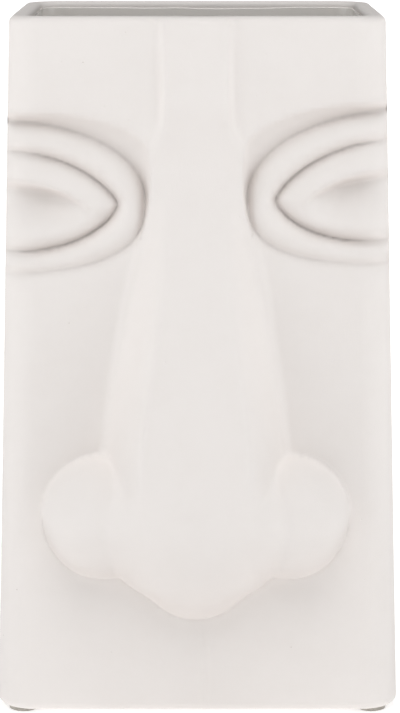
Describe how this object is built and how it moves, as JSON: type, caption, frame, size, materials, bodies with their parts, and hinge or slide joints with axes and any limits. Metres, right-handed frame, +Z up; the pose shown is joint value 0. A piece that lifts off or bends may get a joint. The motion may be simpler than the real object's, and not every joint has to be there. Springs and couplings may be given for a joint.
{
  "type": "face vase",
  "caption": "Tall hollow ceramic block vase whose front carries a long nose and two ringed, cropped eyes.",
  "frame": {"origin": "on the table under the middle of the whole vase, the pads' undersides at Z 0", "axes": "+X to the right as one faces the face, +Y to the back, +Z up"},
  "size_m": [0.1568, 0.1472, 0.27],
  "materials": {
    "bisque": "matte unglazed white bisque",
    "glaze": "thin satin creamy glaze",
    "felt": "pressed wool felt"
  },
  "bodies": {
    "root": {"vase_body": "bisque", "inner_glaze": "glaze", "foot_pad_front_left": "felt", "foot_pad_front_right": "felt", "foot_pad_back_left": "felt", "foot_pad_back_right": "felt"}
  },
  "joints": []
}
